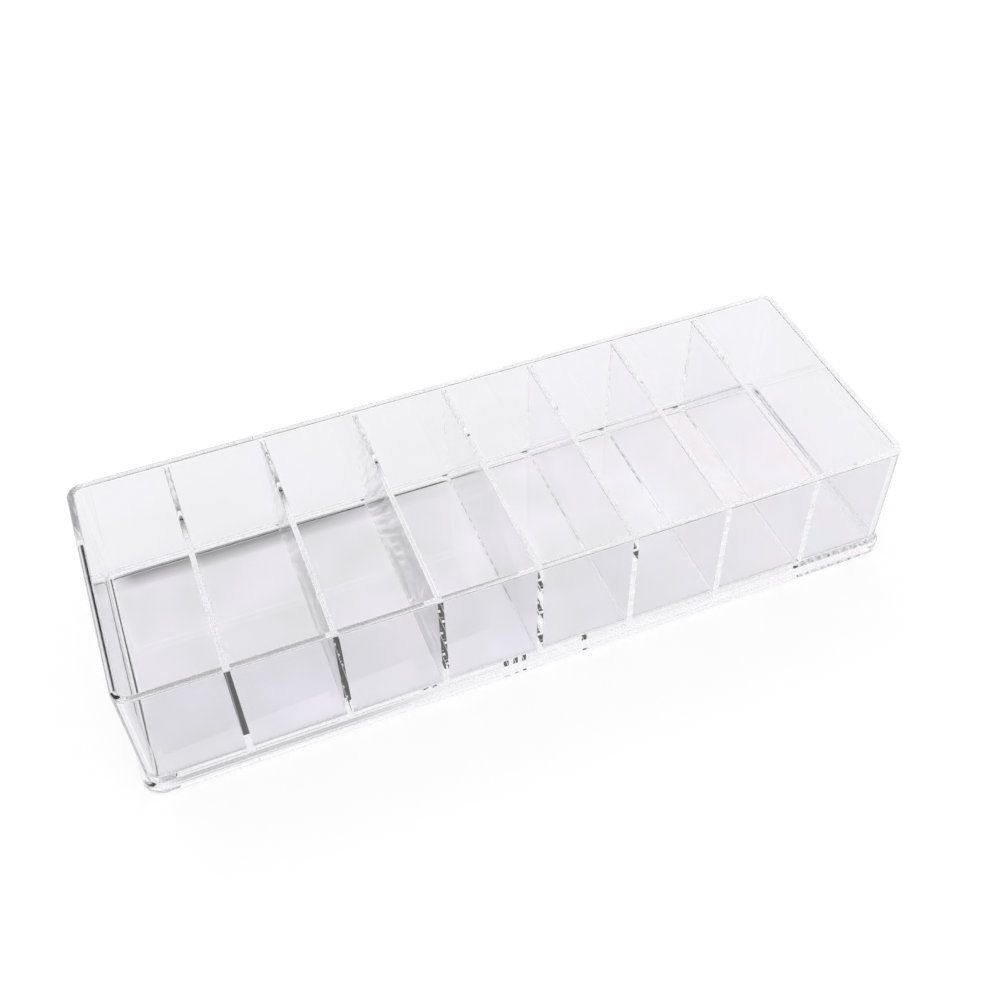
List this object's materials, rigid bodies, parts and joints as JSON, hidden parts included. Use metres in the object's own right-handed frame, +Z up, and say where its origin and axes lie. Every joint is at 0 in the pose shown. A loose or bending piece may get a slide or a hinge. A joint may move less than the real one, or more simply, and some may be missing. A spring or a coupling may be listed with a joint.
{
  "type": "attachment storage container",
  "caption": "Open-topped clear plastic tray with a slightly proud base, rounded corners and cross dividers that make a row of narrow compartments for small attachments.",
  "frame": {"origin": "centre of the underside, on the surface that the tray stands on", "axes": "+X along the row of compartments, +Y from the front wall to the back wall, +Z up"},
  "size_m": [0.2426, 0.086, 0.0448],
  "materials": {
    "clear_plastic": "polished clear, see-through"
  },
  "bodies": {
    "root": {"base_plate": "clear_plastic", "wall_band": "clear_plastic", "divider_1": "clear_plastic", "divider_2": "clear_plastic", "divider_3": "clear_plastic", "divider_4": "clear_plastic", "divider_5": "clear_plastic", "divider_6": "clear_plastic", "divider_7": "clear_plastic"}
  },
  "joints": []
}
